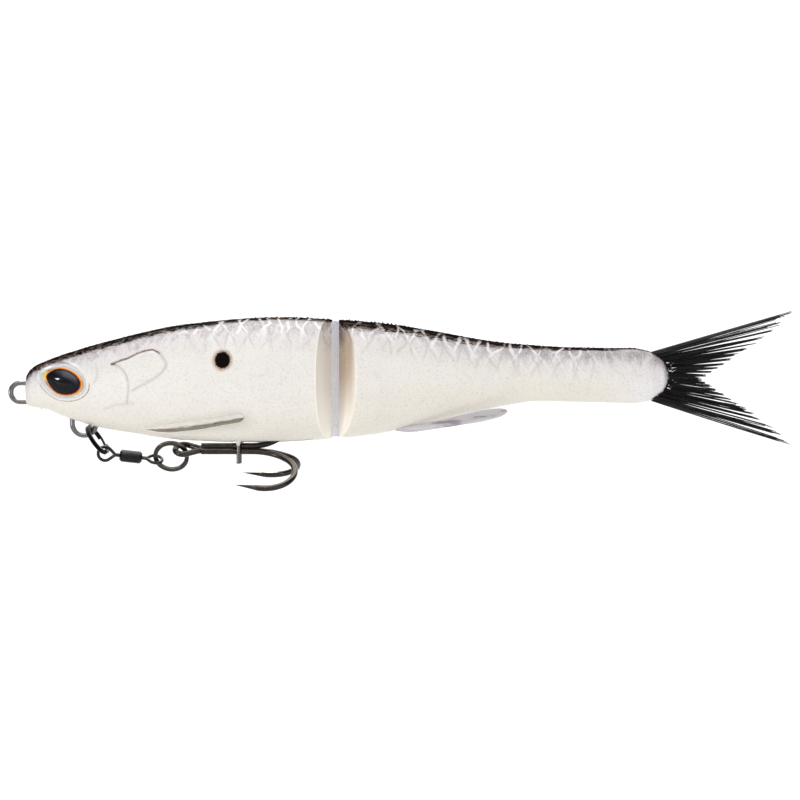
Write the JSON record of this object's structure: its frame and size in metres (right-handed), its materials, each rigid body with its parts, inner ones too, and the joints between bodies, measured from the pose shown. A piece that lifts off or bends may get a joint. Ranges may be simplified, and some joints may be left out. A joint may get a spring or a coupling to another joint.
{
  "type": "jointed swimbait",
  "caption": "Soft-bodied jointed fishing lure shaped like a bait fish, with a cloth hinge, a bristle tail and a treble hook on a swivel rig.",
  "frame": {"origin": "centre of the nose line tie loop", "axes": "+X from nose to tail, +Z to the fish's back, -Y to its left side"},
  "size_m": [0.1826, 0.0273, 0.0416],
  "materials": {
    "soft_body": "glossy pearl soft plastic with a dark back",
    "hinge_cloth": "open woven mesh",
    "stainless_wire": "bright drawn wire",
    "ballast_lead": "dull cast lead",
    "eye_foil": "printed foil",
    "eye_lens": "clear resin dome",
    "soft_fin": "soft plastic",
    "clear_fin": "smoky soft plastic",
    "bristle": "black filament",
    "bond_resin": "cast resin",
    "black_nickel": "black nickel plate",
    "dark_nickel": "smoked nickel plate",
    "hook_steel": "black nickel plate"
  },
  "bodies": {
    "front_half": {"front_body": "soft_body", "hinge_cloth_front": "hinge_cloth", "wire_harness": "stainless_wire", "ballast_weight": "ballast_lead", "hook_clip": "stainless_wire", "eye_foil_left": "eye_foil", "eye_foil_right": "eye_foil", "eye_lens_left": "eye_lens", "eye_lens_right": "eye_lens", "pectoral_fin_left": "soft_fin", "pectoral_fin_right": "soft_fin"},
    "rear_half": {"rear_body": "soft_body", "hinge_cloth_rear": "hinge_cloth", "pelvic_fin_left": "clear_fin", "pelvic_fin_right": "clear_fin", "tail_bristles": "bristle", "tail_bond_plug": "bond_resin"},
    "chin_ring": {"chin_split_ring": "black_nickel"},
    "swivel_front": {"swivel_front_eye": "black_nickel"},
    "barrel": {"swivel_barrel": "black_nickel"},
    "swivel_rear": {"swivel_rear_eye": "black_nickel"},
    "hook_ring": {"hook_split_ring": "dark_nickel"},
    "hook": {"treble_hook_pair": "hook_steel", "treble_hook_single": "hook_steel"}
  },
  "joints": [
    {"name": "tail_swing", "type": "hinge", "parent": "front_half", "child": "rear_half", "pos_m": [0.0735, 0, 0.0032], "axis": [0, 0, 1], "range_deg": [-35, 35]},
    {"name": "chin_ring_swing", "type": "hinge", "parent": "front_half", "child": "chin_ring", "pos_m": [0.01558, 0, -0.00833], "axis": [0, 1, 0], "range_deg": [0, 40]},
    {"name": "swivel_swing", "type": "hinge", "parent": "chin_ring", "child": "swivel_front", "pos_m": [0.0195, 0, -0.01433], "axis": [0, 1, 0], "range_deg": [0, 45]},
    {"name": "barrel_spin", "type": "hinge", "parent": "swivel_front", "child": "barrel", "pos_m": [0.01975, 0, -0.0143], "axis": [0.9854, 0.1254, -0.1152], "continuous": true},
    {"name": "swivel_roll", "type": "hinge", "parent": "swivel_front", "child": "swivel_rear", "pos_m": [0.01975, 0, -0.0143], "axis": [0.9854, 0.1254, -0.1152], "range_deg": [-1.5, 1.5]},
    {"name": "hook_ring_swing", "type": "hinge", "parent": "swivel_rear", "child": "hook_ring", "pos_m": [0.03159, 0.0015, -0.01559], "axis": [0, 1, 0], "range_deg": [0, 20]},
    {"name": "hook_swing", "type": "hinge", "parent": "hook_ring", "child": "hook", "pos_m": [0.03837, 0, -0.01332], "axis": [0, 1, 0], "range_deg": [0, 15]}
  ]
}
